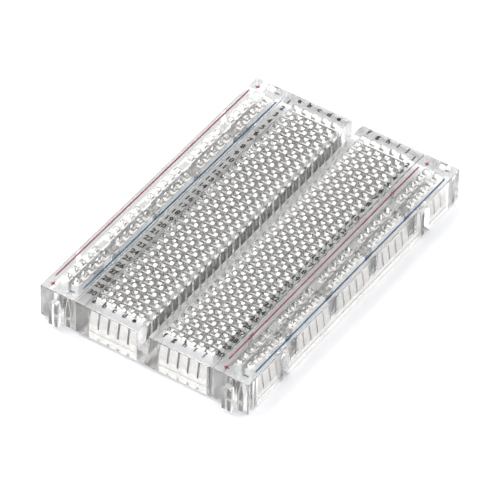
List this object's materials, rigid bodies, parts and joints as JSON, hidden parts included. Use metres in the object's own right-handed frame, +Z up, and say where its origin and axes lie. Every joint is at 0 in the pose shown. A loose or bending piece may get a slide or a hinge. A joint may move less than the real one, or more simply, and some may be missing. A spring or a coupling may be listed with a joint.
{
  "type": "solderless breadboard",
  "caption": "Clear half-size solderless breadboard: a terminal strip with a centre channel and two clip-on power rails, spring contacts inside and a foam adhesive back.",
  "frame": {"origin": "centre of the tie-point grid, on the face of the release liner that lies on the bench", "axes": "+X from column a to column j, +Y from row 30 to row 1, +Z up out of the face with the holes"},
  "size_m": [0.0546, 0.0832, 0.0095],
  "materials": {
    "clear_plastic": "clear polished moulding",
    "nickel_plated_bronze": "nickel-plated spring strip, satin",
    "adhesive_foam": "white closed-cell foam tape",
    "liner_paper": "waxed release paper",
    "red_ink": "printed ink",
    "blue_ink": "printed ink",
    "black_ink": "printed ink"
  },
  "bodies": {
    "power_rail_right": {"power_rail_right_foam_pad": "adhesive_foam", "power_rail_right_housing": "clear_plastic", "power_rail_right_negative_contact": "nickel_plated_bronze", "power_rail_right_negative_marking": "blue_ink", "power_rail_right_positive_contact": "nickel_plated_bronze", "power_rail_right_positive_marking": "red_ink", "power_rail_right_release_liner": "liner_paper"},
    "terminal_strip": {"terminal_clips_row_01": "nickel_plated_bronze", "terminal_clips_row_02": "nickel_plated_bronze", "terminal_clips_row_03": "nickel_plated_bronze", "terminal_clips_row_04": "nickel_plated_bronze", "terminal_clips_row_05": "nickel_plated_bronze", "terminal_clips_row_06": "nickel_plated_bronze", "terminal_clips_row_07": "nickel_plated_bronze", "terminal_clips_row_08": "nickel_plated_bronze", "terminal_clips_row_09": "nickel_plated_bronze", "terminal_clips_row_10": "nickel_plated_bronze", "terminal_clips_row_11": "nickel_plated_bronze", "terminal_clips_row_12": "nickel_plated_bronze", "terminal_clips_row_13": "nickel_plated_bronze", "terminal_clips_row_14": "nickel_plated_bronze", "terminal_clips_row_15": "nickel_plated_bronze", "terminal_clips_row_16": "nickel_plated_bronze", "terminal_clips_row_17": "nickel_plated_bronze", "terminal_clips_row_18": "nickel_plated_bronze", "terminal_clips_row_19": "nickel_plated_bronze", "terminal_clips_row_20": "nickel_plated_bronze", "terminal_clips_row_21": "nickel_plated_bronze", "terminal_clips_row_22": "nickel_plated_bronze", "terminal_clips_row_23": "nickel_plated_bronze", "terminal_clips_row_24": "nickel_plated_bronze", "terminal_clips_row_25": "nickel_plated_bronze", "terminal_clips_row_26": "nickel_plated_bronze", "terminal_clips_row_27": "nickel_plated_bronze", "terminal_clips_row_28": "nickel_plated_bronze", "terminal_clips_row_29": "nickel_plated_bronze", "terminal_clips_row_30": "nickel_plated_bronze", "terminal_strip_foam_pad": "adhesive_foam", "terminal_strip_housing": "clear_plastic", "terminal_strip_release_liner": "liner_paper"},
    "power_rail_left": {"power_rail_left_foam_pad": "adhesive_foam", "power_rail_left_housing": "clear_plastic", "power_rail_left_negative_contact": "nickel_plated_bronze", "power_rail_left_negative_marking": "blue_ink", "power_rail_left_positive_contact": "nickel_plated_bronze", "power_rail_left_positive_marking": "red_ink", "power_rail_left_release_liner": "liner_paper"}
  },
  "joints": [
    {"name": "terminal_strip_lift", "type": "slide", "parent": "power_rail_right", "child": "terminal_strip", "axis": [0, 0, 1], "range_m": [0, 0.012]},
    {"name": "left_rail_lift", "type": "slide", "parent": "terminal_strip", "child": "power_rail_left", "axis": [0, 0, 1], "range_m": [0, 0.012]}
  ]
}
